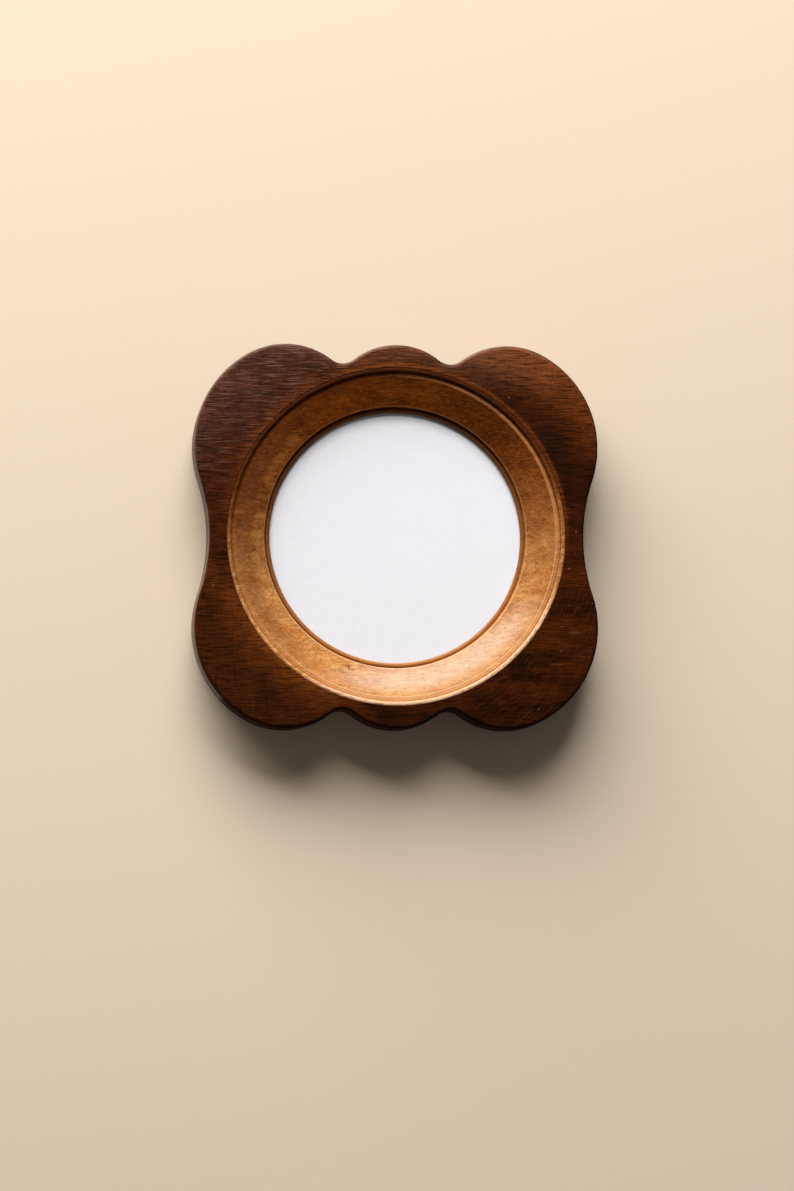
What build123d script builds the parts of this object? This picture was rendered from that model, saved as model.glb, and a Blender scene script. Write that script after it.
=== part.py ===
from build123d import *
from math import cos, radians, sin, sqrt
import os

# Round photo frame: a scalloped board with a turned ring let into its face.
# All sizes are in millimetres, and angles in degrees.
# The frame is modelled face up on a bench. X points right and Y to the top of
# the frame, and Z is the height above the wall plane. hang() stands it up at
# the end, facing -Y, with the nail that it hangs on at the origin.

# Turned ring, widths from the sight edge outwards
sight_diameter = 100.0
lip_bead_width = 1.7
groove_width = 0.4
splay_width = 11.7
fillet_width = 1.6
quirk_width = 0.3
outer_bead_width = 1.5
bead_crest = 0.8

# Turned ring, depths
bead_setback = 0.1
bead_height = 1.65
bead_round = 1.0
quirk_depth = 0.3
step_height = 1.6
groove_depth = 0.35
lip_thickness = 0.8
lip_bead_drop = 0.55
arris_round = 0.25

# Scalloped board
board_thickness = 18.0
waist_wall = 7.4
waist_depth = 5.8
crown_wall = 9.2
lobe_radius = 30.4
shoulder_radius = 42.0
shoulder_angle = 60.5
notch_depth = 7.6
notch_radius = 7.0
front_round = 1.6
back_round = 0.6
seat_round = 0.2

# Picture stack behind the ring, from the front to the back
lip_cover = 4.0
glass_thickness = 1.0
print_thickness = 0.3
filler_thickness = 4.4
panel_thickness = 4.0
panel_chamfer = 0.5
stack_clearance = 0.5

# Fits
glue_gap = 0.1
pilot_clearance = 0.05
pivot_clearance = 0.08
button_gap = 0.2
head_gap = 0.1

# Countersunk screws that draw the ring onto its seat
ring_screw_count = 6
ring_screw_head_radius = 2.8
ring_screw_shank_radius = 1.5
ring_screw_bite = 3.5

# Turn buttons that hold the back panel
button_angle = 45.0
button_margin = 10.0
button_reach = 15.0
button_root_radius = 4.6
button_tip_radius = 3.4
button_thickness = 1.2
button_edge_round = 0.3
tab_thickness = 1.1
tab_height = 1.1
button_screw_head_radius = 2.9
button_screw_head_height = 1.7
button_screw_shank_radius = 1.4
button_screw_bite = 6.0

# Hanger at the top of the back
hanger_margin = 2.0
hanger_length = 28.0
hanger_height = 8.0
hanger_thickness = 0.8
hanger_screw_spacing = 21.0
hanger_screw_head_radius = 2.3
hanger_screw_head_height = 1.3
hanger_screw_shank_radius = 1.2
hanger_screw_bite = 6.0
knuckle_length = 8.0
knuckle_offset = 1.5
wire_radius = 0.9
loop_width = 12.0
loop_height = 7.2
loop_corner_radius = 1.6
nail_radius = 1.5

# Felt pads that keep the hardware off the wall
pad_radius = 5.0
pad_thickness = 4.0
pad_margin = 3.2
pad_edge_round = 0.5

# Screw slots and points
slot_width = 0.8
slot_depth = 0.7
slot_angle = 37.0
point_ratio = 1.6
hole_overrun = 0.4

# Radii worked out from the widths
sight_radius = sight_diameter / 2
lip_edge_radius = sight_radius + lip_bead_width
inner_arris_radius = lip_edge_radius + groove_width
outer_arris_radius = inner_arris_radius + splay_width
quirk_radius = outer_arris_radius + fillet_width
bead_foot_radius = quirk_radius + quirk_width
ring_radius = bead_foot_radius + outer_bead_width
seat_radius = ring_radius + glue_gap
rebate_radius = sight_radius + lip_cover
stack_radius = rebate_radius - stack_clearance

# Heights above the wall plane
board_back = pad_thickness
board_front = board_back + board_thickness
filler_back = board_back + panel_thickness
print_back = filler_back + filler_thickness
glass_back = print_back + print_thickness
ring_back = glass_back + glass_thickness
rebate_depth = ring_back - board_back
lip_front = ring_back + lip_thickness
inner_arris_height = lip_front + step_height
bead_top_height = board_front - bead_setback
outer_arris_height = bead_top_height - bead_height

# Outline of the board, as half sizes
half_waist = ring_radius + waist_wall
half_width = half_waist + waist_depth
half_height = ring_radius + crown_wall

# Places of the hardware
ring_screw_circle = (rebate_radius + ring_radius) / 2
button_circle = rebate_radius + button_margin
hanger_y = rebate_radius + hanger_margin + hanger_height / 2
knuckle_y = hanger_y + knuckle_offset
knuckle_radius = wire_radius + pivot_clearance + hanger_thickness
knuckle_z = board_back - knuckle_radius
loop_top_y = knuckle_y + wire_radius + loop_height
nail_y = loop_top_y - nail_radius

# Where each turn button stands around the opening
button_angles = {
    "upper_right": button_angle,
    "upper_left": 180 - button_angle,
    "lower_left": 180 + button_angle,
    "lower_right": 360 - button_angle,
}


def disc(radius, height, bottom):
    """A plain disc on the frame's axis, standing on the height called bottom."""
    low = (Align.CENTER, Align.CENTER, Align.MIN)
    return Pos(0, 0, bottom) * Cylinder(radius, height, align=low)


def polar(radius, angle):
    """The point at this radius and angle on the bench."""
    return Vector(radius * cos(radians(angle)), radius * sin(radians(angle)))


def arc(centre, start, end):
    """The shorter arc from start to end about centre."""
    middle = (start - centre).normalized() + (end - centre).normalized()
    radius = (start - centre).length
    return ThreePointArc(start, centre + middle.normalized() * radius, end)


def with_mirror(edges, plane):
    """These edges and their mirror images in plane."""
    return edges + [mirror(edge, about=plane).edge() for edge in edges]


def rim_edges(part, radius, height):
    """The circular edges of part with this radius at this height."""
    near = 0.01

    def wanted(edge):
        return abs(edge.radius - radius) < near and abs(edge.center().Z - height) < near

    return part.edges().filter_by(GeomType.CIRCLE).filter_by(wanted)


# Outline

def lobe_centres():
    """Centres of a corner lobe's two arcs: the shoulder's at the side and the lobe's own."""
    outward = polar(1, shoulder_angle)
    step = shoulder_radius - lobe_radius
    shoulder = Vector(half_width - shoulder_radius, half_height - lobe_radius - step * outward.Y)
    return shoulder, shoulder + outward * step


def notch_centre(lobe):
    """Centre of the notch's arc, which bottoms at the notch's depth and touches the lobe from outside."""
    y = half_height - notch_depth + notch_radius
    return Vector(lobe.X - sqrt((lobe_radius + notch_radius) ** 2 - (y - lobe.Y) ** 2), y)


def crown_centre(notch):
    """Centre of the arc at the top of the board, which touches the notch's arc."""
    drop = half_height - notch.Y
    radius = (notch.X**2 + drop**2 - notch_radius**2) / (2 * notch_depth)
    return Vector(0, half_height - radius)


def quarter_outline():
    """A quarter of the outline, from the top centre to the middle of the right side."""
    shoulder, lobe = lobe_centres()
    notch = notch_centre(lobe)
    crown = crown_centre(notch)
    reach = (half_waist - shoulder.X) ** 2 + shoulder.Y**2 - shoulder_radius**2
    waist_radius = reach / (2 * waist_depth)
    waist = Vector(half_waist + waist_radius, 0)
    top = Vector(0, half_height)
    crown_end = notch + (crown - notch).normalized() * notch_radius
    lobe_start = lobe + (notch - lobe).normalized() * lobe_radius
    lobe_end = shoulder + polar(shoulder_radius, shoulder_angle)
    shoulder_end = shoulder + (waist - shoulder).normalized() * shoulder_radius
    side = Vector(half_waist, 0)
    return [
        arc(crown, top, crown_end),
        arc(notch, crown_end, lobe_start),
        arc(lobe, lobe_start, lobe_end),
        arc(shoulder, lobe_end, shoulder_end),
        arc(waist, shoulder_end, side),
    ]


def outline_face():
    """The board's whole outline: four mirrored quarters."""
    edges = with_mirror(quarter_outline(), Plane.YZ)
    return make_face(with_mirror(edges, Plane.XZ))


# Screws

def turned_screw(head_radius, head_height, shank_radius, length, countersunk=False):
    """A slotted wood screw with a plain shank. It points up, with its head's seat at zero.

    A countersunk head is a cone under the seat plane's level, and a round head a dome below it.
    """
    point = shank_radius * point_ratio
    tip = Line((shank_radius, 0, length - point), (0, 0, length))
    if countersunk:
        shank_foot = (shank_radius, 0, head_radius - shank_radius)
        head = [Line((0, 0, 0), (head_radius, 0, 0)), Line((head_radius, 0, 0), shank_foot)]
        head_top = 0.0
    else:
        shank_foot = (shank_radius, 0, 0)
        dome_radius = (head_radius**2 + head_height**2) / (2 * head_height)
        dome = Vector(0, 0, dome_radius - head_height)
        crest = Vector(0, 0, -head_height)
        head = [arc(dome, crest, Vector(head_radius, 0, 0)), Line((head_radius, 0, 0), shank_foot)]
        head_top = -head_height
    shank = Line(shank_foot, (shank_radius, 0, length - point))
    spine = Line((0, 0, length), (0, 0, head_top))
    body = revolve(make_face([*head, shank, tip, spine]), Axis.Z)
    low = (Align.CENTER, Align.CENTER, Align.MIN)
    return body - Pos(0, 0, head_top) * Box(3 * head_radius, slot_width, slot_depth, align=low)


def pilot_hole(shank_radius, length):
    """The hole that a screw of this shank and length goes into."""
    return disc(shank_radius + pilot_clearance, length + hole_overrun, 0)


def countersink():
    """The hole for a ring screw, with the cone that its head sits in."""
    deep = ring_screw_head_radius - ring_screw_shank_radius
    low = (Align.CENTER, Align.CENTER, Align.MIN)
    wide = ring_screw_head_radius + pilot_clearance
    cone = Cone(wide, ring_screw_shank_radius + pilot_clearance, deep, align=low)
    return cone + pilot_hole(ring_screw_shank_radius, rebate_depth + ring_screw_bite)


def ring_screw_places():
    """Where the ring screws enter the back of the board."""
    step = 360 / ring_screw_count
    return [Pos(*polar(ring_screw_circle, step * n)) * Pos(0, 0, board_back) for n in range(ring_screw_count)]


def button_places():
    """Where each turn button pivots on the back of the board, turned to point at the centre."""
    return {
        name: Pos(*polar(button_circle, angle)) * Pos(0, 0, board_back) * Rot(0, 0, angle + 180)
        for name, angle in button_angles.items()
    }


def hanger_screw_places():
    """Where the two hanger screws enter the back of the board."""
    half = hanger_screw_spacing / 2
    return [Pos(x, hanger_y, board_back) for x in (-half, half)]


def screw_holes():
    """Every screw hole in the wood, for the board and the ring alike."""
    holes = [place * countersink() for place in ring_screw_places()]
    holes += [place * pilot_hole(button_screw_shank_radius, button_screw_bite) for place in button_places().values()]
    holes += [place * pilot_hole(hanger_screw_shank_radius, hanger_screw_bite) for place in hanger_screw_places()]
    return holes


# Wooden pieces

def scalloped_board():
    """The dark board: a rounded outline, the ring's seat from the front and the rebate's bore through it."""
    board = Pos(0, 0, board_back) * extrude(outline_face(), board_thickness)
    board = fillet(board.faces().sort_by(Axis.Z)[-1].edges(), front_round)
    board = fillet(board.faces().sort_by(Axis.Z)[0].edges(), back_round)
    board -= disc(seat_radius, board_thickness, ring_back)
    board -= disc(rebate_radius, board_thickness, board_back)
    board = fillet(rim_edges(board, seat_radius, board_front), seat_round)
    return board - screw_holes()


def ring_profile():
    """Half section of the ring, in X and Z: outer bead, quirk, fillet, splay, step, groove and lip bead."""
    quirk_height = outer_arris_height - quirk_depth
    groove_height = lip_front - groove_depth
    bead_inside = outer_bead_width - bead_crest
    bead_centre = Vector(ring_radius - bead_crest, 0, bead_top_height - bead_round)
    back_outside = (ring_radius, 0, ring_back)
    bead_edge = bead_centre + Vector(bead_crest, 0, sqrt(bead_round**2 - bead_crest**2))
    bead_foot = bead_centre + Vector(-bead_inside, 0, sqrt(bead_round**2 - bead_inside**2))
    quirk_outside = (bead_foot_radius, 0, quirk_height)
    quirk_inside = (quirk_radius, 0, quirk_height)
    fillet_edge = (quirk_radius, 0, outer_arris_height)
    outer_arris = (outer_arris_radius, 0, outer_arris_height)
    inner_arris = (inner_arris_radius, 0, inner_arris_height)
    groove_outside = (inner_arris_radius, 0, groove_height)
    groove_inside = (lip_edge_radius, 0, groove_height)
    lip_top = ((sight_radius + lip_edge_radius) / 2, 0, lip_front)
    sight_edge = (sight_radius, 0, lip_front - lip_bead_drop)
    back_inside = (sight_radius, 0, ring_back)
    return make_face([
        Line(back_outside, bead_edge),
        arc(bead_centre, bead_edge, bead_foot),
        Line(bead_foot, quirk_outside),
        Line(quirk_outside, quirk_inside),
        Line(quirk_inside, fillet_edge),
        Line(fillet_edge, outer_arris),
        Line(outer_arris, inner_arris),
        Line(inner_arris, groove_outside),
        Line(groove_outside, groove_inside),
        ThreePointArc(groove_inside, lip_top, sight_edge),
        Line(sight_edge, back_inside),
        Line(back_inside, back_outside),
    ])


def turned_ring():
    """The honey-coloured ring, whose lip holds the glass from the front."""
    ring = revolve(ring_profile(), Axis.Z)
    arrises = rim_edges(ring, outer_arris_radius, outer_arris_height)
    arrises += rim_edges(ring, inner_arris_radius, inner_arris_height)
    ring = fillet(arrises, arris_round)
    return ring - screw_holes()


def ring_screws():
    """Countersunk screws from the back, through the seat into the ring."""
    length = rebate_depth + ring_screw_bite
    screw = turned_screw(ring_screw_head_radius, 0, ring_screw_shank_radius, length, countersunk=True)
    places = ring_screw_places()
    return [place * Rot(0, 0, slot_angle * n) * screw for n, place in enumerate(places)]


# Picture stack

def glass_pane():
    """The glass, held between the ring's lip and the print."""
    return disc(stack_radius, glass_thickness, glass_back)


def photo_print():
    """The blank print."""
    return disc(stack_radius, print_thickness, print_back)


def filler_card():
    """The card that fills the rebate behind the print."""
    return disc(stack_radius, filler_thickness, filler_back)


def back_panel():
    """The panel that closes the back, flush with the board."""
    panel = disc(stack_radius, panel_thickness, board_back)
    return chamfer(rim_edges(panel, stack_radius, board_back), panel_chamfer)


# Turn buttons

def turn_button():
    """A pear-shaped plate with an upturned tip. It pivots at the origin and reaches along X."""
    tip_x = button_reach - button_tip_radius
    circles = Circle(button_root_radius) + Pos(tip_x, 0) * Circle(button_tip_radius)
    pear = make_hull(circles.edges())
    top = -button_gap
    plate = Pos(0, 0, top) * extrude(pear, -button_thickness)
    plate = fillet(plate.faces().sort_by(Axis.Z)[0].edges(), button_edge_round)
    low = (Align.MIN, Align.CENTER, Align.MAX)
    upturn = Pos(0, 0, top) * extrude(pear, -button_thickness - tab_height)
    upturn &= Pos(button_reach - tab_thickness, 0, top) * Box(
        tab_thickness, 2 * button_root_radius, button_thickness + tab_height, align=low
    )
    return plate + upturn - Cylinder(button_screw_shank_radius + pivot_clearance, 8 * button_thickness)


def button_screws():
    """Round-headed screws that the turn buttons pivot on."""
    seat = button_gap + button_thickness + head_gap
    length = seat + button_screw_bite
    screw = turned_screw(
        button_screw_head_radius, button_screw_head_height, button_screw_shank_radius, length
    )
    places = button_places().values()
    return [place * Pos(0, 0, -seat) * Rot(0, 0, slot_angle * n) * screw for n, place in enumerate(places)]


# Hanger

def hanger_plate():
    """A brass plate with two screw holes and a rolled knuckle for the ring."""
    plate = Pos(0, hanger_y, board_back) * extrude(SlotOverall(hanger_length, hanger_height), -hanger_thickness)
    along_x = Pos(0, knuckle_y, knuckle_z) * Rot(0, 90, 0)
    plate += along_x * Cylinder(knuckle_radius, knuckle_length)
    plate -= along_x * Cylinder(wire_radius + pivot_clearance, 2 * knuckle_length)
    hole = Cylinder(hanger_screw_shank_radius + pilot_clearance, 4 * hanger_thickness)
    return plate - [place * hole for place in hanger_screw_places()]


def hanger_ring():
    """The D-shaped wire loop that goes over the nail. Its straight bar lies in the knuckle."""
    half = loop_width / 2 + wire_radius
    corner = loop_corner_radius
    shoulder = loop_height + 2 * wire_radius - half
    right = [
        Line((0, 0), (half - corner, 0)),
        arc(Vector(half - corner, corner), Vector(half - corner, 0), Vector(half, corner)),
        Line((half, corner), (half, shoulder)),
        arc(Vector(0, shoulder), Vector(half, shoulder), Vector(0, shoulder + half)),
    ]
    loop = Wire(with_mirror(right, Plane.YZ))
    wire = sweep(Plane.YZ * Circle(wire_radius), path=loop)
    return Pos(0, knuckle_y, knuckle_z) * wire


def hanger_screws():
    """The hanger's two round-headed screws."""
    length = hanger_thickness + hanger_screw_bite
    screw = turned_screw(
        hanger_screw_head_radius, hanger_screw_head_height, hanger_screw_shank_radius, length
    )
    places = hanger_screw_places()
    return [place * Pos(0, 0, -hanger_thickness) * Rot(0, 0, slot_angle * n) * screw for n, place in enumerate(places)]


# Pads

def felt_pads():
    """Two felt discs behind the lower lobes."""
    lobe = lobe_centres()[1]
    pad = disc(pad_radius, pad_thickness, 0)
    pad = fillet(rim_edges(pad, pad_radius, 0), pad_edge_round)
    y = pad_margin + pad_radius - half_height
    return [Pos(x, y, 0) * pad for x in (-lobe.X, lobe.X)]


# Export

def hang(solids):
    """Stands bench solids up, facing -Y, with the nail's axis through the origin."""
    upright = Pos(0, 0, -nail_y) * Plane.XZ.location
    return Compound([solid for part in solids for solid in (upright * part).solids()])


def pieces():
    """Every piece of the frame by its node's name, each as a list of bench solids."""
    found = {
        "scalloped_board": [scalloped_board()],
        "turned_ring": [turned_ring()],
        "ring_screws": ring_screws(),
        "glass_pane": [glass_pane()],
        "photo_print": [photo_print()],
        "filler_card": [filler_card()],
        "back_panel": [back_panel()],
        "turn_button_screws": button_screws(),
        "hanger_plate": [hanger_plate()],
        "hanger_ring": [hanger_ring()],
        "hanger_screws": hanger_screws(),
        "felt_pads": felt_pads(),
    }
    for name, place in button_places().items():
        found[f"turn_button_{name}"] = [place * turn_button()]
    return found


os.makedirs("parts", exist_ok=True)
for node, solids in pieces().items():
    export_step(hang(solids), f"parts/{node}.step")
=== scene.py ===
"""Looks of the round photo frame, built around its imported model.

The scene is in metres. The nail is at the origin, +Z is up the wall and the picture faces -Y.
"""

import math

import bmesh
import bpy
from mathutils import Matrix, Vector, noise


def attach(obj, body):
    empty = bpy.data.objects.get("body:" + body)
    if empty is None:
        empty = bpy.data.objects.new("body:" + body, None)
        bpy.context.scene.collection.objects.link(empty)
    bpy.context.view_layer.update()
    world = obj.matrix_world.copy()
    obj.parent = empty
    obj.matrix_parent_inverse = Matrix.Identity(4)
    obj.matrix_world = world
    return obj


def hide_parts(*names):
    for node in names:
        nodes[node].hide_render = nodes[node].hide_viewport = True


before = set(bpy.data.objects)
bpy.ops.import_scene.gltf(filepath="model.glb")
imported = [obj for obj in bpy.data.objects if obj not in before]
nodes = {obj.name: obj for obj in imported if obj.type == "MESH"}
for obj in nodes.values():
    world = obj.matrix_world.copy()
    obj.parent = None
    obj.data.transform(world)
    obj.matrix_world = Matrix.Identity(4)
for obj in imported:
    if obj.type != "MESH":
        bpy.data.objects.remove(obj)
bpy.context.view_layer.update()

# Sizes in millimetres, radii from the centre of the opening
millimetre = 0.001
opening_drop = 68.1
board_front = 22.0
sight_radius = 50.0
lip_edge_radius = 51.7
inner_arris_radius = 52.1
outer_arris_radius = 63.8
quirk_radius = 65.4
bead_foot_radius = 65.7
bead_crest_radius = 66.4
ring_radius = 67.2

# Heights of the ring's mouldings above the wall, and how far its corners are eased
ring_back = 13.7
sight_edge_height = 13.95
groove_height = 14.15
lip_height = 14.5
inner_arris_height = 16.1
quirk_height = 19.95
outer_arris_height = 20.25
bead_foot_height = 21.61
bead_edge_height = 21.78
bead_height = 21.9
arris_ease = 0.3
edge_ease = 0.08

# How finely the ring is turned, the gap its seam is closed over, and the largest angle that shades smooth
turning_steps = 480
splay_steps = 24
bead_steps = 14
ease_steps = 4
seam_gap = 0.001
smooth_degrees = 35.0

# Dents in the ring's outer bead and arris. Noise below the threshold leaves the wood whole
dent_length = 1.3
dent_depth = 0.2
dent_threshold = 0.1
dent_steepness = 2.5
dent_bead_margin = 0.2
dent_arris_reach = 0.4

# Felt pads. An edge that folds by more than pad_rim_fold, in radians, is a rim
pad_radius = 5.0
pad_thickness = 4.0
pad_side = 44.1
pad_drop = 136.3
pad_rim_round = 0.8
pad_rim_steps = 4
pad_segments = 48
pad_rim_fold = 1.0

# Wear on the board beside the ring: where it ends, where it is full, and how far its edge wanders
worn_end = 9.5
worn_full = 3.5
worn_wander = 8.0

# Stains on the board beside the ring: the width of the broad ones and of the line against it
beside_width = 9.0
line_width = 1.6

# Dust: the spacing of its specks, and the way an arris faces where it is paler with dust and a painted
# highlight
speck_spacing = 3.0
dust_and_highlight_facing = (-0.75, 0, 0.66)

# The way a wall of the board faces that is waxed and handled
wax_reaches = (-0.6, 0, 0.8)

# A nick in the ring's splay, left of the centre
nick_across = -18.6

# Depths of the relief in each surface
pore_depth = 0.08
fleck_depth = 0.05
pulp_depth = 0.06
nap_depth = 0.25

# The photograph: its size and the opening's centre in pixels, and the scale on the board's face
photo_width = 794
photo_height = 1191
centre_across = 396.7
centre_down = 535.9
millimetres_per_pixel = 0.396

# The camera: degrees from straight ahead, then millimetres
from_left = 5.0
from_below = 5.5
camera_distance = 2000.0
sensor_size = 36.0
nearest_seen = 10.0

# The studio, in millimetres
wall_hole = 66.0
wall_reach = 3000.0
wall_gap = 0.5
wall_segments = 96
floor_drop = 420.0

# The lamp: degrees to the left and up from straight ahead, then metres and watts
lamp_left = 32.9
lamp_up = 59.1
lamp_distance = 2.0
lamp_width = 2.6
lamp_height = 1.3
lamp_power = 118.0

# How bright the room is in front of the frame, in what the frame mirrors of that, and behind the frame
room_front = 0.13
room_mirrored = 0.02
room_behind = 0.6

opening_centre = Vector((0.0, -board_front, -opening_drop)) * millimetre


def to_linear(hex_code):
    """Linear colour with full alpha from an sRGB hex value."""
    channels = [int(hex_code[start : start + 2], 16) / 255 for start in (0, 2, 4)]
    linear = [c / 12.92 if c <= 0.04045 else ((c + 0.055) / 1.055) ** 2.4 for c in channels]
    return (*linear, 1.0)


def add(tree, kind, inputs=None, out=0, **settings):
    """Adds a node and returns one of its outputs. An input takes a number, a colour or another output."""
    made = tree.nodes.new("ShaderNode" + kind)
    for name, value in settings.items():
        setattr(made, name, value)
    for name, value in (inputs or {}).items():
        if isinstance(value, bpy.types.NodeSocket):
            tree.links.new(value, made.inputs[name])
        else:
            made.inputs[name].default_value = value
    return made.outputs[out] if out is not None else None


def start_finish(name):
    """A new material, its node tree, and the place in millimetres from the opening's centre."""
    finish = bpy.data.materials.new(name)
    finish.use_nodes = True
    tree = finish.node_tree
    tree.nodes.clear()
    from_nail = add(tree, "TexCoord", out="Object")
    scale = 1 / millimetre
    place = add(
        tree,
        "Mapping",
        {"Vector": from_nail, "Location": (0, 0, opening_drop), "Scale": (scale, scale, scale)},
    )
    return finish, tree, place


def end_finish(tree, inputs):
    """Gives the material its surface."""
    shader = add(tree, "BsdfPrincipled", inputs)
    add(tree, "OutputMaterial", {"Surface": shader}, out=None)


def radius_of(tree, place):
    """Distance from the opening's centre across the face, in millimetres."""
    flat = add(tree, "VectorMath", {0: place, 1: (1, 0, 1)}, operation="MULTIPLY")
    return add(tree, "VectorMath", {0: flat}, out="Value", operation="LENGTH")


def streaks(tree, place, across, up, detail=3.0, roughness=0.6):
    """Noise drawn out across or up the frame, for grain and brush strokes. Sizes in millimetres."""
    drawn = add(tree, "Mapping", {"Vector": place, "Scale": (1 / across, 1 / min(across, up), 1 / up)})
    return add(tree, "TexNoise", {"Vector": drawn, "Scale": 1.0, "Detail": detail, "Roughness": roughness})


def two_tones(tree, share, first, second):
    """A colour between two hex values: the first where the share is 0, the second where it is 1."""
    return add(tree, "Mix", {0: share, 6: to_linear(first), 7: to_linear(second)}, out=2, data_type="RGBA")


def rub_in(tree, colour, stain, *shares):
    """Lays a stain over the colour that is there. It is a hex value or another colour.

    Several shares are multiplied.
    """
    share = shares[0]
    for other in shares[1:]:
        share = add(tree, "Math", {0: share, 1: other}, operation="MULTIPLY")
    if isinstance(stain, str):
        stain = to_linear(stain)
    return add(tree, "Mix", {0: share, 6: colour, 7: stain}, out=2, data_type="RGBA")


def shaded(tree, colour, pattern, start, end, at_start, at_end):
    """Darkens or brightens a colour by a pattern, with one factor at its start and another at its end."""
    factor = add(
        tree,
        "MapRange",
        {"Value": pattern, "From Min": start, "From Max": end, "To Min": at_start, "To Max": at_end},
    )
    return add(tree, "VectorMath", {0: colour, "Scale": factor}, operation="SCALE")


def towards(tree, place, angle):
    """How far a place lies from the centre in one direction. Millimetres, and degrees from the right."""
    turn = math.radians(angle)
    way = (math.cos(turn), 0, math.sin(turn))
    return add(tree, "VectorMath", {0: place, 1: way}, out="Value", operation="DOT_PRODUCT")


def side(tree, place, angle, start, end, most=1.0):
    """The share of a stain on one side of the frame: none nearer the centre than start, most beyond end."""
    reach = towards(tree, place, angle)
    return add(
        tree,
        "MapRange",
        {"Value": reach, "From Min": start, "From Max": end, "To Max": most},
        interpolation_type="SMOOTHSTEP",
    )


def ringing(tree, place, along, across):
    """Noise drawn out in circles round the opening, for marks of a lathe or a rubbing hand. Millimetres."""
    across_face = add(tree, "SeparateXYZ", {0: place}, out="X")
    up_face = across_face.node.outputs["Z"]
    turn = add(tree, "Math", {0: up_face, 1: across_face}, operation="ARCTAN2")
    length = add(tree, "Math", {0: turn, 1: ring_radius / along}, operation="MULTIPLY")
    step = add(tree, "Math", {0: radius_of(tree, place), 1: 1 / across}, operation="MULTIPLY")
    drawn = add(tree, "CombineXYZ", {"X": length, "Y": step})
    return add(tree, "TexNoise", {"Vector": drawn, "Scale": 1.0, "Detail": 3.0, "Roughness": 0.6})


def circle_band(tree, radius, start, end, blur):
    """1 between two radii and 0 outside them, with soft edges. Millimetres."""
    rise = add(
        tree,
        "MapRange",
        {"Value": radius, "From Min": start - blur, "From Max": start + blur},
        interpolation_type="SMOOTHSTEP",
    )
    fall = add(
        tree,
        "MapRange",
        {"Value": radius, "From Min": end + blur, "From Max": end - blur},
        interpolation_type="SMOOTHSTEP",
    )
    return add(tree, "Math", {0: rise, 1: fall}, operation="MULTIPLY")


def mark(tree, place, across, up, wide, high, tilt=0.0):
    """1 at the middle of a small oval mark, 0 at its edge. Millimetres from the centre, tilt in degrees."""
    local = add(
        tree,
        "Mapping",
        {
            "Vector": place,
            "Location": (across, -board_front, up),
            "Rotation": (0, math.radians(-tilt), 0),
            "Scale": (wide / 2, 2 * board_front, high / 2),
        },
        vector_type="TEXTURE",
    )
    return add(tree, "TexGradient", {"Vector": local}, out="Fac", gradient_type="SPHERICAL")


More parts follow.
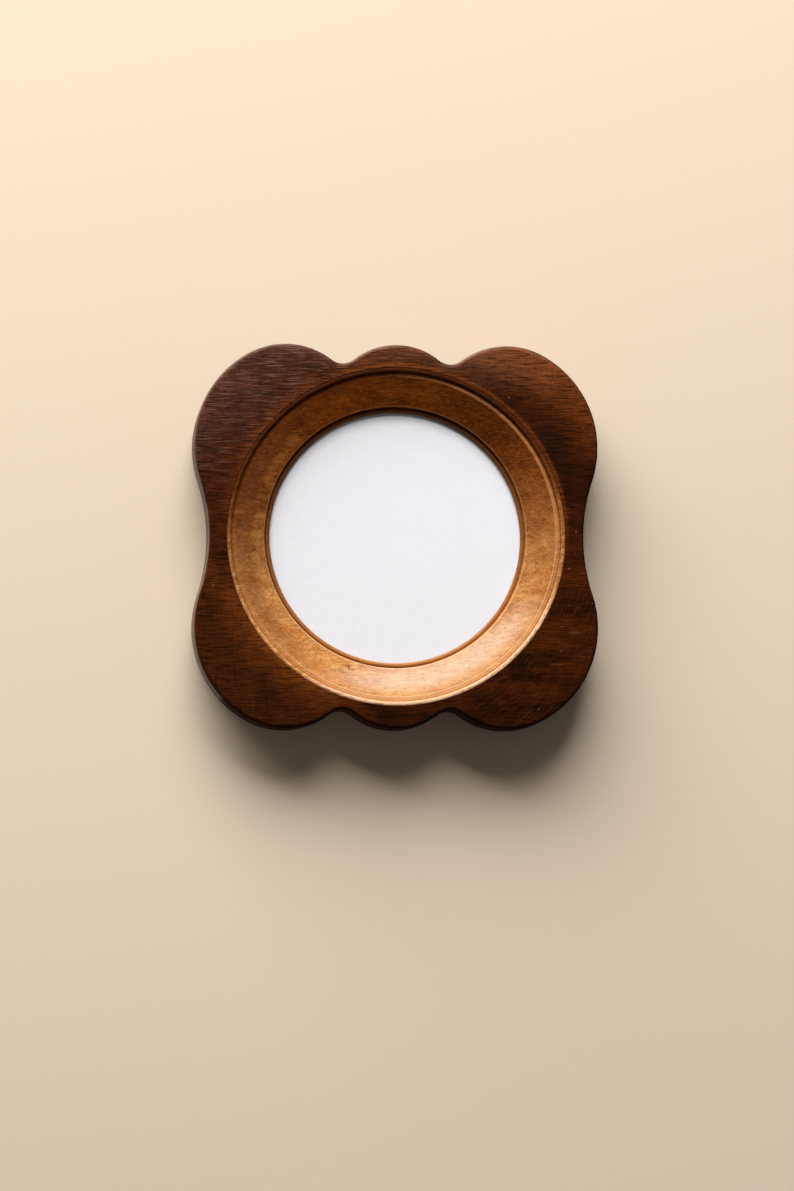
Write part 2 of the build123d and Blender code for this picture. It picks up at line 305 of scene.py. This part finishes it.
def stained_board():
    """Open-pored hardwood, brushed with walnut stain and waxed.

    It is nearly black brown, with fine level pores and cloudy warm patches, and orange where the stain
    is rubbed off beside the ring. It is lighter towards the top and the upper right and darker at the foot
    as painted light, and greyer at the upper left with dry wax and a painted sheen. It has specks of dust.
    Its front arris is painted dark all round as shade, and paler where it faces up and to the left, as
    dust and a painted highlight.
    """
    finish, tree, place = start_finish("walnut_stained_hardwood_waxed")
    radius = radius_of(tree, place)

    # Pores are drawn about twice as coarse as real ones, to show
    pores = streaks(tree, place, across=8.0, up=0.45, detail=4.0, roughness=0.75)
    brushed = streaks(tree, place, across=0.7, up=5.0)
    bands = streaks(tree, place, across=30.0, up=4.0, detail=4.0)
    clouds = streaks(tree, place, across=15.0, up=11.0, detail=4.0)

    # Stain: cloudy and warm at the lower left; lighter at the top and the upper right as painted light, and
    # grey at the upper left as a painted sheen on dry wax
    tone = add(tree, "Math", {0: bands, 1: clouds}, operation="ADD")
    tone = add(tree, "MapRange", {"Value": tone, "From Min": 0.72, "From Max": 1.28})
    colour = two_tones(tree, tone, "190600", "461b01")
    # Painted light: the stain is lighter at the top and the upper right, where the light falls
    top = side(tree, place, angle=82.0, start=59.0, end=81.0, most=0.95)
    colour = rub_in(tree, colour, "704024", top)
    lit_upper_right = side(tree, place, angle=45.0, start=72.0, end=92.0, most=0.6)
    colour = rub_in(tree, colour, "6a3310", lit_upper_right)
    lower_left = side(tree, place, angle=222.0, start=53.0, end=77.0)
    colour = rub_in(tree, colour, "3e1b04", lower_left, clouds)
    # Painted sheen: grey at the upper left, over dry wax that also makes the face rougher there
    dry_wax_and_sheen = side(tree, place, angle=128.0, start=58.0, end=94.0)
    colour = rub_in(tree, colour, "4e2e22", dry_wax_and_sheen, 0.6)

    # Stain rubbed off beside the ring, in a strip whose edge wanders
    wander = add(tree, "Math", {0: clouds, 1: worn_wander, 2: radius}, operation="MULTIPLY_ADD")
    near_ring = add(
        tree,
        "MapRange",
        {"Value": wander, "From Min": ring_radius + worn_end, "From Max": ring_radius + worn_full},
        interpolation_type="SMOOTHSTEP",
    )
    worn_above = side(tree, place, angle=117.0, start=20.0, end=66.0, most=0.6)
    worn_below = side(tree, place, angle=226.0, start=54.0, end=68.0, most=0.9)
    worn = add(tree, "Math", {0: worn_above, 1: worn_below}, operation="MAXIMUM")
    colour = rub_in(tree, colour, "64320e", near_ring, worn)

    # Dark spots
    for across, up, wide, high, tilt in (
        (62.0, 35.0, 14.0, 24.0, 30.0),
        (-52.0, -56.0, 13.0, 19.0, 0.0),
        (-69.0, -14.5, 7.0, 11.0, 0.0),
    ):
        spot = mark(tree, place, across, up, wide, high, tilt)
        colour = rub_in(tree, colour, "160b05", spot, 0.7)

    # Beside the ring: dark at the upper right, with an orange line against it, and warm at the lower left
    beside_ring = circle_band(tree, radius, start=ring_radius, end=ring_radius + beside_width, blur=4.0)
    darker = side(tree, place, angle=45.0, start=35.0, end=60.0, most=0.4)
    colour = rub_in(tree, colour, "220d05", beside_ring, darker)
    warmer = side(tree, place, angle=225.0, start=50.0, end=68.0, most=0.5)
    colour = rub_in(tree, colour, "5e2b08", beside_ring, warmer)
    against_ring = circle_band(tree, radius, start=ring_radius, end=ring_radius + line_width, blur=0.6)
    rubbed = side(tree, place, angle=55.0, start=30.0, end=60.0, most=0.6)
    colour = rub_in(tree, colour, "6a330c", against_ring, rubbed)

    # Pores and brush strokes, and painted shade that darkens all of it at the foot
    colour = shaded(tree, colour, pores, start=0.38, end=0.62, at_start=0.2, at_end=1.8)
    colour = shaded(tree, colour, brushed, start=0.3, end=0.7, at_start=0.83, at_end=1.17)
    # Painted shade: darker towards the foot, away from the light
    foot = towards(tree, place, angle=275.0)
    colour = shaded(tree, colour, foot, start=55.0, end=75.0, at_start=1.0, at_end=0.7)

    # Pale streaks at the upper left, partly wax in the pores and partly painted sheen; upright scratches at
    # the lower left
    wax_and_sheen_streaks = streaks(tree, place, across=9.0, up=0.36, detail=2.0)
    wax_and_sheen_streaks = add(tree, "MapRange", {"Value": wax_and_sheen_streaks, "From Min": 0.56, "From Max": 0.66})
    upper_left = side(tree, place, angle=118.0, start=20.0, end=95.0, most=0.65)
    colour = rub_in(tree, colour, "8a6656", wax_and_sheen_streaks, upper_left)
    upright = streaks(tree, place, across=0.4, up=9.0, detail=2.0)
    upright = add(tree, "MapRange", {"Value": upright, "From Min": 0.57, "From Max": 0.68, "To Max": 0.25})
    colour = rub_in(tree, colour, "6a3a16", upright, lower_left)

    # Scratches round the ring and two short level ones at the lower right
    circling = ringing(tree, place, along=6.0, across=0.45)
    circling = add(tree, "MapRange", {"Value": circling, "From Min": 0.52, "From Max": 0.68, "To Max": 0.6})
    lower_right = side(tree, place, angle=315.0, start=40.0, end=65.0)
    colour = rub_in(tree, colour, "542a0e", circling, lower_right)
    for across, up in ((70.9, -38.0), (63.4, -50.7)):
        dash = mark(tree, place, across, up, wide=6.5, high=1.5)
        dash = add(tree, "MapRange", {"Value": dash, "From Max": 0.5, "To Max": 0.5})
        colour = rub_in(tree, colour, "643616", dash)

    # Specks of dust, in one cell of five
    cell_scale = 1 / speck_spacing
    cells = add(tree, "Mapping", {"Vector": place, "Scale": (cell_scale, cell_scale, cell_scale)})
    away = add(tree, "TexVoronoi", {"Vector": cells, "Scale": 1.0}, out="Distance")
    chance = add(tree, "SeparateXYZ", {0: away.node.outputs["Color"]}, out="X")
    chosen = add(tree, "Math", {0: chance, 1: 0.8}, operation="GREATER_THAN")
    speck = add(tree, "MapRange", {"Value": away, "From Min": 0.1, "From Max": 0.04, "To Max": 0.5})
    colour = rub_in(tree, colour, "b89f8a", speck, chosen)

    # Front arris: painted dark all round as shade on the rounding, paler where it faces up and to the left,
    # as dust and a painted highlight
    facing = add(tree, "TexCoord", out="Normal")
    out_of_face = add(tree, "SeparateXYZ", {0: facing}, out="Y")
    edge_in = add(
        tree,
        "MapRange",
        {"Value": out_of_face, "From Min": -0.9, "From Max": -0.5, "To Max": 0.8},
    )
    edge_out = add(tree, "MapRange", {"Value": out_of_face, "From Min": -0.05, "From Max": -0.2})
    outside = add(tree, "Math", {0: radius, 1: ring_radius + 3.0}, operation="GREATER_THAN")
    arris = add(tree, "Math", {0: edge_in, 1: edge_out}, operation="MULTIPLY")
    arris = add(tree, "Math", {0: arris, 1: outside}, operation="MULTIPLY")
    # Painted shade on the rounded arris
    colour = rub_in(tree, colour, "1c0a03", arris)
    # Dust and a painted highlight where the arris faces the light
    upturned = add(tree, "VectorMath", {0: facing, 1: dust_and_highlight_facing}, out="Value", operation="DOT_PRODUCT")
    dust_and_highlight = add(tree, "MapRange", {"Value": upturned, "From Min": 0.3, "From Max": 0.8, "To Max": 0.7})
    colour = rub_in(tree, colour, "a98b76", arris, dust_and_highlight)

    # Waxed face and upper walls. Walls that turn down or to the right are dry
    relief = add(
        tree,
        "Bump",
        {"Height": pores, "Strength": 0.5, "Distance": pore_depth * millimetre},
        out="Normal",
    )
    gloss = add(tree, "MapRange", {"Value": dry_wax_and_sheen, "To Min": 0.36, "To Max": 0.5})
    handled = add(tree, "VectorMath", {0: facing, 1: wax_reaches}, out="Value", operation="DOT_PRODUCT")
    unwaxed = add(
        tree,
        "MapRange",
        {"Value": handled, "From Min": -0.02, "From Max": -0.18, "To Max": 0.95},
    )
    roughness = add(tree, "Math", {0: gloss, 1: unwaxed}, operation="MAXIMUM")
    end_finish(
        tree,
        {"Base Color": colour, "Roughness": roughness, "Specular IOR Level": 0.1, "Normal": relief},
    )
    return finish


def turned_beech():
    """Beech, turned on a lathe, stained honey and polished.

    It is painted dark amber at the top as shade and pale gold below as light, with a painted glare at the
    lower right. It has fine level flecks, pale arrises that are worn and carry a painted highlight, a
    fillet painted lighter below and at the upper right, a groove at the lip darkened towards the lower
    left and a knocked, flecked bead.
    """
    finish, tree, place = start_finish("honey_beech_turned_and_polished")
    radius = radius_of(tree, place)
    patches = streaks(tree, place, across=11.0, up=5.0, detail=5.0)
    flecks = streaks(tree, place, across=3.0, up=0.5, detail=4.0, roughness=0.7)
    ripple_length = 5.0
    ripple_width = 1.2
    wavy = add(
        tree,
        "Mapping",
        {"Vector": place, "Scale": (1 / ripple_length, 1 / ripple_width, 1 / ripple_width)},
    )
    ripple = add(tree, "TexNoise", {"Vector": wavy, "Scale": 1.0, "Detail": 4.0, "Distortion": 0.7})
    below = side(tree, place, angle=276.0, start=-32.0, end=56.0)
    # Painted highlight: where a glare is painted on the lower right
    painted_glare = side(tree, place, angle=290.0, start=37.0, end=54.0)
    left = side(tree, place, angle=186.0, start=22.0, end=54.0)
    splay_middle = (inner_arris_radius + outer_arris_radius) / 2

    # Stain: painted light, dark amber above as shade and gold below as light, with a pale painted glare at
    # the lower right; dull along the outside at the left
    tone = add(tree, "MapRange", {"Value": patches, "From Min": 0.3, "From Max": 0.7})
    colour = two_tones(tree, tone, "5a2600", "82400a")
    gold = two_tones(tree, tone, "ad6426", "d09654")
    # Painted light: gold below, where the light falls, over amber that stands for the shade above
    colour = rub_in(tree, colour, gold, below)
    # Painted highlight: a pale glare on the middle of the splay at the lower right
    middle = circle_band(tree, radius, start=inner_arris_radius, end=outer_arris_radius - 2.5, blur=3.5)
    colour = rub_in(tree, colour, "d8b498", painted_glare, middle, 0.75)
    inner_half = circle_band(tree, radius, start=inner_arris_radius, end=splay_middle - 1.0, blur=2.0)
    outer_half = circle_band(tree, radius, start=splay_middle, end=outer_arris_radius, blur=2.0)
    colour = rub_in(tree, colour, "c28444", inner_half, left, tone, 0.6)
    colour = rub_in(tree, colour, "74462a", outer_half, left, 0.35)
    dark_patch = mark(tree, place, across=34.0, up=46.0, wide=62.0, high=46.0, tilt=-35.0)
    dark_patch = add(tree, "MapRange", {"Value": dark_patch, "From Max": 0.7, "To Max": 0.7})
    colour = rub_in(tree, colour, "441b00", dark_patch)

    # Figure and flecks of the wood, faint in the painted glare and on the outer half below
    plain = add(tree, "Math", {0: below, 1: outer_half}, operation="MULTIPLY")
    plain = add(tree, "Math", {0: plain, 1: painted_glare}, operation="MAXIMUM")
    dim = add(tree, "MapRange", {"Value": plain, "To Min": 0.7, "To Max": 0.86})
    bright = add(tree, "MapRange", {"Value": plain, "To Min": 1.3, "To Max": 1.12})
    colour = shaded(tree, colour, ripple, start=0.32, end=0.68, at_start=dim, at_end=bright)
    flecked = add(tree, "MapRange", {"Value": plain, "To Min": 0.55, "To Max": 0.2})
    # Flecks painted darker above and paler below, as light falls
    for start, end, fleck_in_shade, fleck_in_light in (
        (0.46, 0.33, "341300", "964e1c"),
        (0.54, 0.67, "9a5c18", "ecc294"),
    ):
        fleck = add(tree, "MapRange", {"Value": flecks, "From Min": start, "From Max": end})
        stain = two_tones(tree, below, fleck_in_shade, fleck_in_light)
        colour = rub_in(tree, colour, stain, fleck, flecked)
    fine_grain = streaks(tree, place, across=1.2, up=0.5, detail=2.0)
    colour = shaded(tree, colour, fine_grain, start=0.3, end=0.7, at_start=0.8, at_end=1.2)

    # Lip, painted darker above and lighter below as light falls, and the groove darkened towards the lower
    # left
    lip = circle_band(tree, radius, start=sight_radius - 5.0, end=lip_edge_radius, blur=0.1)
    # The lip's stain, with painted light: darker above and lighter below
    lip_stain_and_light = two_tones(tree, below, "6a3f1c", "9c602e")
    colour = rub_in(tree, colour, lip_stain_and_light, lip, 0.7)
    groove = circle_band(tree, radius, start=lip_edge_radius - 0.1, end=inner_arris_radius - 0.05, blur=0.1)
    groove_darkening = side(tree, place, angle=215.0, start=-20.0, end=30.0, most=0.8)
    colour = rub_in(tree, colour, "35180a", groove, groove_darkening)

    # Pale arrises, worn and with a painted highlight that is paler below; fillet painted lighter at the
    # upper right and below as light
    lower_right = side(tree, place, angle=300.0, start=-10.0, end=35.0, most=0.8)
    # Arrises pale with wear and a painted highlight, paler below
    for arris_radius, share in ((outer_arris_radius, lower_right), (inner_arris_radius + 0.25, 0.6)):
        arris = circle_band(tree, radius, start=arris_radius - 0.1, end=arris_radius + 0.1, blur=0.2)
        pale = two_tones(tree, below, "be8652", "f4cfa2")
        colour = rub_in(tree, colour, pale, arris, share)
    # Painted light: the fillet's inner edge lit at the upper right
    painted_light_band = circle_band(
        tree, radius, start=outer_arris_radius - 0.1, end=outer_arris_radius + 1.2, blur=0.3
    )
    lit_upper_right = side(tree, place, angle=42.0, start=32.0, end=60.0, most=1.2)
    colour = rub_in(tree, colour, "c4824e", painted_light_band, patches, lit_upper_right)
    # Painted light: the fillet paler below, most in the painted glare
    fillet = circle_band(tree, radius, start=outer_arris_radius, end=quirk_radius, blur=0.1)
    fillet_glare_tone = two_tones(tree, painted_glare, "ba7a42", "deb080")
    colour = rub_in(tree, colour, fillet_glare_tone, fillet, below, 0.5)

    # Bead: painted dark at the top as shade and pale below as painted glare, speckled with knocks
    bead = circle_band(tree, radius, start=bead_foot_radius, end=ring_radius + 1.0, blur=0.1)
    above = side(tree, place, angle=95.0, start=0.0, end=45.0, most=0.85)
    # Painted shade at the top
    colour = rub_in(tree, colour, "3a1600", bead, above)
    # Painted glare below
    colour = rub_in(tree, colour, "f8c298", bead, painted_glare, 0.9)
    knocks = ringing(tree, place, along=1.5, across=1.0)
    for start, end, most, stain in ((0.52, 0.62, 0.5, "f2be8c"), (0.47, 0.36, 0.45, "8e4e24")):
        speckle = add(
            tree,
            "MapRange",
            {"Value": knocks, "From Min": start, "From Max": end, "To Max": most},
        )
        colour = rub_in(tree, colour, stain, speckle, bead, below)

    # A nick of two strokes, one nearly upright and one nearly level
    for up, wide, high, tilt, stain in (
        (-51.9, 0.8, 3.0, 15.0, "2a1004"),
        (-51.2, 4.5, 0.8, 5.0, "9c4a22"),
    ):
        nick = mark(tree, place, nick_across, up, wide, high, tilt)
        nick = add(tree, "MapRange", {"Value": nick, "From Max": 0.6, "To Max": 0.8})
        colour = rub_in(tree, colour, stain, nick)
    relief = add(
        tree,
        "Bump",
        {"Height": flecks, "Strength": 0.3, "Distance": fleck_depth * millimetre},
        out="Normal",
    )
    roughness = add(tree, "MapRange", {"Value": below, "To Min": 0.75, "To Max": 0.45})
    end_finish(
        tree,
        {"Base Color": colour, "Roughness": roughness, "Specular IOR Level": 0.08, "Normal": relief},
    )
    return finish


def matt_paper():
    """Blank matt print paper: cool white, with a faint tooth."""
    finish, tree, place = start_finish("matt_white_print_paper")
    tooth = streaks(tree, place, across=2.0, up=1.2, detail=4.0)
    colour = two_tones(tree, tooth, "f1eef5", "faf8fd")
    end_finish(tree, {"Base Color": colour, "Roughness": 0.85, "Specular IOR Level": 0.2})
    return finish


def picture_glass():
    """Clear float glass, polished by the melt: hardly seen from the front."""
    finish, tree, _ = start_finish("clear_float_glass")
    end_finish(
        tree,
        {"Base Color": to_linear("fbfdfc"), "Roughness": 0.0, "IOR": 1.5, "Transmission Weight": 1.0},
    )
    return finish


def grey_card():
    """Grey pulp card, calendered: dull, with pale and dark fibres."""
    finish, tree, place = start_finish("grey_pulp_card")
    fibres = streaks(tree, place, across=1.6, up=0.5, detail=4.0)
    colour = two_tones(tree, fibres, "8f8573", "c2b7a3")
    end_finish(tree, {"Base Color": colour, "Roughness": 0.9})
    return finish


def hardboard():
    """Hardboard, hot pressed smooth: brown and cloudy, with short dark and pale wood fibres.

    The fibres are drawn coarser than real ones, to show.
    """
    finish, tree, place = start_finish("hardboard_hot_pressed")
    pulp = streaks(tree, place, across=2.0, up=1.6, detail=5.0)
    clouds = streaks(tree, place, across=16.0, up=12.0, detail=4.0)
    fibres = streaks(tree, place, across=1.8, up=0.6, detail=3.0, roughness=0.7)
    colour = two_tones(tree, pulp, "54351d", "8c6340")
    colour = shaded(tree, colour, clouds, start=0.3, end=0.7, at_start=0.75, at_end=1.25)
    for start, end, most, stain in ((0.42, 0.32, 0.7, "321d0d"), (0.6, 0.7, 0.6, "b98d61")):
        fibre = add(tree, "MapRange", {"Value": fibres, "From Min": start, "From Max": end, "To Max": most})
        colour = rub_in(tree, colour, stain, fibre)
    roughness = add(tree, "MapRange", {"Value": clouds, "To Min": 0.5, "To Max": 0.7})
    relief = add(
        tree,
        "Bump",
        {"Height": pulp, "Strength": 0.3, "Distance": pulp_depth * millimetre},
        out="Normal",
    )
    end_finish(tree, {"Base Color": colour, "Roughness": roughness, "Normal": relief})
    return finish


def dulled_brass():
    """Stamped brass, dulled with age: yellow brown, with darker tarnish in patches."""
    finish, tree, place = start_finish("stamped_brass_dulled")
    tarnish = streaks(tree, place, across=3.0, up=3.0, detail=5.0)
    colour = two_tones(tree, tarnish, "8a6a32", "d2ab62")
    roughness = add(tree, "MapRange", {"Value": tarnish, "To Min": 0.55, "To Max": 0.25})
    end_finish(tree, {"Base Color": colour, "Metallic": 1.0, "Roughness": roughness})
    return finish


def screw_steel():
    """Bright drawn steel, turned: grey, with fine scuffs."""
    finish, tree, place = start_finish("drawn_steel_turned")
    scuffs = streaks(tree, place, across=2.0, up=0.3, detail=4.0)
    roughness = add(tree, "MapRange", {"Value": scuffs, "To Min": 0.25, "To Max": 0.5})
    end_finish(tree, {"Base Color": to_linear("b3b1ad"), "Metallic": 1.0, "Roughness": roughness})
    return finish


def pressed_felt():
    """Wool felt, pressed and die cut: dark green, matt, with a soft nap."""
    finish, tree, place = start_finish("wool_felt_pressed")
    nap = streaks(tree, place, across=0.7, up=0.5, detail=5.0)
    colour = two_tones(tree, nap, "262d20", "5c6752")
    relief = add(
        tree,
        "Bump",
        {"Height": nap, "Strength": 0.8, "Distance": nap_depth * millimetre},
        out="Normal",
    )
    end_finish(
        tree,
        {"Base Color": colour, "Roughness": 0.95, "Sheen Weight": 0.4, "Normal": relief},
    )
    return finish


def piece_from(name, shape, finish):
    """Turns a shape into an object of one material."""
    mesh = bpy.data.meshes.new(name)
    shape.to_mesh(mesh)
    shape.free()
    mesh.materials.append(finish)
    piece = bpy.data.objects.new(name, mesh)
    bpy.context.scene.collection.objects.link(piece)
    return piece


def through(start, middle, end, steps):
    """Points of a smooth curve through three points of a section, without its last point."""
    points = []
    for step in range(steps):
        t = step / steps
        shares = ((1 - t) * (1 - 2 * t), 4 * t * (1 - t), t * (2 * t - 1))
        points.append(start * shares[0] + middle * shares[1] + end * shares[2])
    return points


def eased(before, corner, after, reach):
    """Points of a small round in place of a section's corner."""
    start = corner + (before - corner).normalized() * reach
    end = corner + (after - corner).normalized() * reach
    points = []
    for step in range(ease_steps + 1):
        t = step / ease_steps
        points.append(start * (1 - t) ** 2 + corner * 2 * t * (1 - t) + end * t**2)
    return points


def ring_section():
    """The ring's section as points of radius and height.

    From the outside in, it has a bead, a quirk, a fillet, a splay, a step, a groove and a lip bead.
    """
    bead_edge = Vector((ring_radius, bead_edge_height))
    bead_crest = Vector((bead_crest_radius, bead_height))
    bead_foot = Vector((bead_foot_radius, bead_foot_height))
    quirk_outside = Vector((bead_foot_radius, quirk_height))
    quirk_inside = Vector((quirk_radius, quirk_height))
    fillet_edge = Vector((quirk_radius, outer_arris_height))
    outer_arris = Vector((outer_arris_radius, outer_arris_height))
    inner_arris = Vector((inner_arris_radius, inner_arris_height))
    groove_outside = Vector((inner_arris_radius, groove_height))
    groove_inside = Vector((lip_edge_radius, groove_height))
    lip_crest = Vector(((sight_radius + lip_edge_radius) / 2, lip_height))
    sight_edge = Vector((sight_radius, sight_edge_height))
    back_inside = Vector((sight_radius, ring_back))
    back_outside = Vector((ring_radius, ring_back))
    splay = through(outer_arris, (outer_arris + inner_arris) / 2, inner_arris, splay_steps)
    return [
        back_outside,
        *through(bead_edge, bead_crest, bead_foot, bead_steps),
        bead_foot,
        quirk_outside,
        quirk_inside,
        *eased(quirk_inside, fillet_edge, outer_arris, edge_ease),
        *eased(fillet_edge, outer_arris, splay[1], arris_ease),
        *splay[1:],
        *eased(splay[-1], inner_arris, groove_outside, arris_ease),
        groove_outside,
        *through(groove_inside, lip_crest, sight_edge, bead_steps),
        *eased(lip_crest, sight_edge, back_inside, edge_ease),
        back_inside,
    ]


def knock(place):
    """How far an edge of the ring is knocked in at a place, in millimetres. Dents are as long as wide."""
    bump = noise.noise(place / dent_length)
    return dent_depth * min(max(bump - dent_threshold, 0.0) * dent_steepness, 1.0)


def turned_ring(finish):
    """The ring, turned from its section, with the outer bead and the arris knocked about by use."""
    shape = bmesh.new()
    section = ring_section()
    loop = [bmesh.ops.create_vert(shape, co=(point.x, -point.y, 0))["vert"][0] for point in section]
    for here, there in zip(loop, loop[1:] + loop[:1]):
        bmesh.ops.contextual_create(shape, geom=[here, there])
    bmesh.ops.spin(
        shape,
        geom=shape.verts[:] + shape.edges[:],
        cent=(0, 0, 0),
        axis=(0, 1, 0),
        angle=2 * math.pi,
        steps=turning_steps,
        use_merge=True,
    )
    bmesh.ops.remove_doubles(shape, verts=shape.verts, dist=seam_gap)
    bmesh.ops.recalc_face_normals(shape, faces=shape.faces)

    # Dents, half as deep on the arris
    for corner in shape.verts:
        radius = math.hypot(corner.co.x, corner.co.z)
        on_bead = radius > bead_foot_radius + dent_bead_margin and -corner.co.y > bead_foot_height
        on_arris = abs(radius - outer_arris_radius) < dent_arris_reach
        if on_bead:
            corner.co.y += knock(corner.co)
        elif on_arris:
            corner.co.y += knock(corner.co) / 2
    bmesh.ops.translate(shape, verts=shape.verts, vec=(0, 0, -opening_drop))
    bmesh.ops.scale(shape, verts=shape.verts, vec=(millimetre, millimetre, millimetre))
    ring = piece_from("honey_ring", shape, finish)
    ring.data.shade_smooth()
    ring.data.set_sharp_from_angle(angle=math.radians(smooth_degrees))
    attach(ring, "frame")
    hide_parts("turned_ring")


def felt_pads(finish):
    """Two die-cut felt discs behind the lower lobes, with soft rounded rims."""
    shape = bmesh.new()
    for across in (-pad_side, pad_side):
        rim = bmesh.ops.create_circle(
            shape, cap_ends=True, cap_tris=False, segments=pad_segments, radius=pad_radius
        )
        base = rim["verts"][0].link_faces[0]
        lifted = bmesh.ops.extrude_face_region(shape, geom=[base])
        top = [item for item in lifted["geom"] if isinstance(item, bmesh.types.BMVert)]
        bmesh.ops.translate(shape, verts=top, vec=(0, 0, pad_thickness))
        disc = rim["verts"] + top
        bmesh.ops.rotate(
            shape, verts=disc, cent=(0, 0, 0), matrix=Matrix.Rotation(math.pi / 2, 3, "X")
        )
        bmesh.ops.translate(shape, verts=disc, vec=(across, 0, -pad_drop))
    rims = [edge for edge in shape.edges if edge.calc_face_angle(0.0) > pad_rim_fold]
    bmesh.ops.bevel(
        shape,
        geom=rims,
        offset=pad_rim_round,
        segments=pad_rim_steps,
        profile=0.5,
        affect="EDGES",
        material=-1,
    )
    bmesh.ops.recalc_face_normals(shape, faces=shape.faces)
    bmesh.ops.scale(shape, verts=shape.verts, vec=(millimetre, millimetre, millimetre))
    discs = piece_from("felt_discs", shape, finish)
    discs.data.shade_smooth()
    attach(discs, "frame")
    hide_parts("felt_pads")


def wall_paint():
    """Plain pale paint that shows from the front only, so that views from behind see through the wall."""
    paint = bpy.data.materials.new("pale_wall_paint")
    paint.use_nodes = True
    tree = paint.node_tree
    tree.nodes.clear()
    front = add(tree, "BsdfDiffuse", {"Color": to_linear("e3d0b8")})
    open_back = add(tree, "BsdfTransparent")
    behind = add(tree, "NewGeometry", out="Backfacing")
    shown = add(tree, "MixShader", {0: behind, 1: front, 2: open_back})
    add(tree, "OutputMaterial", {"Surface": shown}, out=None)
    return paint


def floor_paint():
    """Plain pale paint, matt."""
    paint = bpy.data.materials.new("pale_floor_paint")
    paint.use_nodes = True
    surface = paint.node_tree.nodes["Principled BSDF"].inputs
    surface["Base Color"].default_value = to_linear("c9c5bd")
    surface["Roughness"].default_value = 0.9
    return paint


def studio():
    """A pale wall behind the frame and a pale floor below it.

    A hole in the wall lets the metal fittings on the frame's back mirror the bright room behind it. The
    wall throws no shadow and no light on the frame.
    """
    shape = bmesh.new()
    upright = Matrix.Rotation(math.pi / 2, 4, "X")
    for radius in (wall_hole, wall_reach):
        bmesh.ops.create_circle(shape, segments=wall_segments, radius=radius * millimetre, matrix=upright)
    bmesh.ops.bridge_loops(shape, edges=shape.edges)
    bmesh.ops.translate(shape, verts=shape.verts, vec=(0, wall_gap * millimetre, opening_centre.z))
    away = [face for face in shape.faces if face.normal.y > 0]
    bmesh.ops.reverse_faces(shape, faces=away)
    wall = piece_from("pale_wall", shape, wall_paint())
    wall.visible_shadow = False
    wall.visible_diffuse = False
    shape = bmesh.new()
    level = Matrix.Translation((0, 0, -floor_drop * millimetre))
    bmesh.ops.create_grid(shape, x_segments=1, y_segments=1, size=wall_reach * millimetre, matrix=level)
    floor = piece_from("pale_floor", shape, floor_paint())
    floor.visible_diffuse = False
    floor.visible_glossy = False


def way_to(left, up):
    """Direction from the opening into the room. Degrees to the left and up from straight ahead."""
    turn = math.radians(left)
    lift = math.radians(up)
    return Vector((-math.sin(turn) * math.cos(lift), -math.cos(turn) * math.cos(lift), math.sin(lift)))


def key_lamp():
    """A broad soft lamp, high on the left, that faces the opening."""
    light = bpy.data.lights.new("key_lamp", "AREA")
    light.shape = "RECTANGLE"
    light.size = lamp_width
    light.size_y = lamp_height
    light.energy = lamp_power
    holder = bpy.data.objects.new("key_lamp", light)
    bpy.context.scene.collection.objects.link(holder)
    way = way_to(lamp_left, lamp_up)
    holder.location = opening_centre + way * lamp_distance
    holder.rotation_mode = "QUATERNION"
    holder.rotation_quaternion = way.to_track_quat("Z", "Y")


def soft_room():
    """A room that is dim in front of the frame, dimmer where the frame mirrors it, and bright behind it."""
    world = bpy.data.worlds.new("soft_room")
    world.use_nodes = True
    tree = world.node_tree
    tree.nodes.clear()
    way = add(tree, "TexCoord", out="Generated")
    depth = add(tree, "SeparateXYZ", {0: way}, out="Y")
    mirrored = add(tree, "LightPath", out="Is Glossy Ray")
    front = add(tree, "MapRange", {"Value": mirrored, "To Min": room_front, "To Max": room_mirrored})
    strength = add(
        tree,
        "MapRange",
        {"Value": depth, "From Min": 0.05, "From Max": 0.5, "To Min": front, "To Max": room_behind},
    )
    glow = add(tree, "Background", {"Color": to_linear("e6e2da"), "Strength": strength})
    add(tree, "OutputWorld", {"Surface": glow}, out=None)
    bpy.context.scene.world = world


def photo_camera():
    """The camera at the photograph's angle, with the opening's centre where the photograph has it."""
    back = way_to(from_left, -from_below)
    right = (-back).cross(Vector((0, 0, 1))).normalized()
    upright = right.cross(-back)
    shift_right = (photo_width / 2 - centre_across) * millimetres_per_pixel * millimetre
    shift_down = (photo_height / 2 - centre_down) * millimetres_per_pixel * millimetre
    target = opening_centre + right * shift_right - upright * shift_down
    eye = opening_centre + back * camera_distance * millimetre
    lens = bpy.data.cameras.new("photo_camera")
    lens.sensor_width = sensor_size
    lens.lens = sensor_size * camera_distance / (photo_height * millimetres_per_pixel)
    lens.clip_start = nearest_seen * millimetre
    camera = bpy.data.objects.new("photo_camera", lens)
    bpy.context.scene.collection.objects.link(camera)
    camera.location = eye
    camera.rotation_mode = "QUATERNION"
    camera.rotation_quaternion = (target - eye).to_track_quat("-Z", "Y")
    bpy.context.scene.camera = camera


finishes = {
    stained_board(): ["scalloped_board"],
    matt_paper(): ["photo_print"],
    picture_glass(): ["glass_pane"],
    grey_card(): ["filler_card"],
    hardboard(): ["back_panel"],
    screw_steel(): ["ring_screws"],
    dulled_brass(): [name for name in nodes if name.startswith(("turn_button", "hanger"))],
}
for finish, wearers in finishes.items():
    for name in wearers:
        for holder in nodes[name].material_slots:
            holder.material = finish

# Light passes through the glass to the print
nodes["glass_pane"].visible_shadow = False
nodes["glass_pane"].visible_diffuse = False
turned_ring(turned_beech())
felt_pads(pressed_felt())
studio()
key_lamp()
soft_room()
photo_camera()
bpy.context.scene.view_settings.view_transform = "Standard"
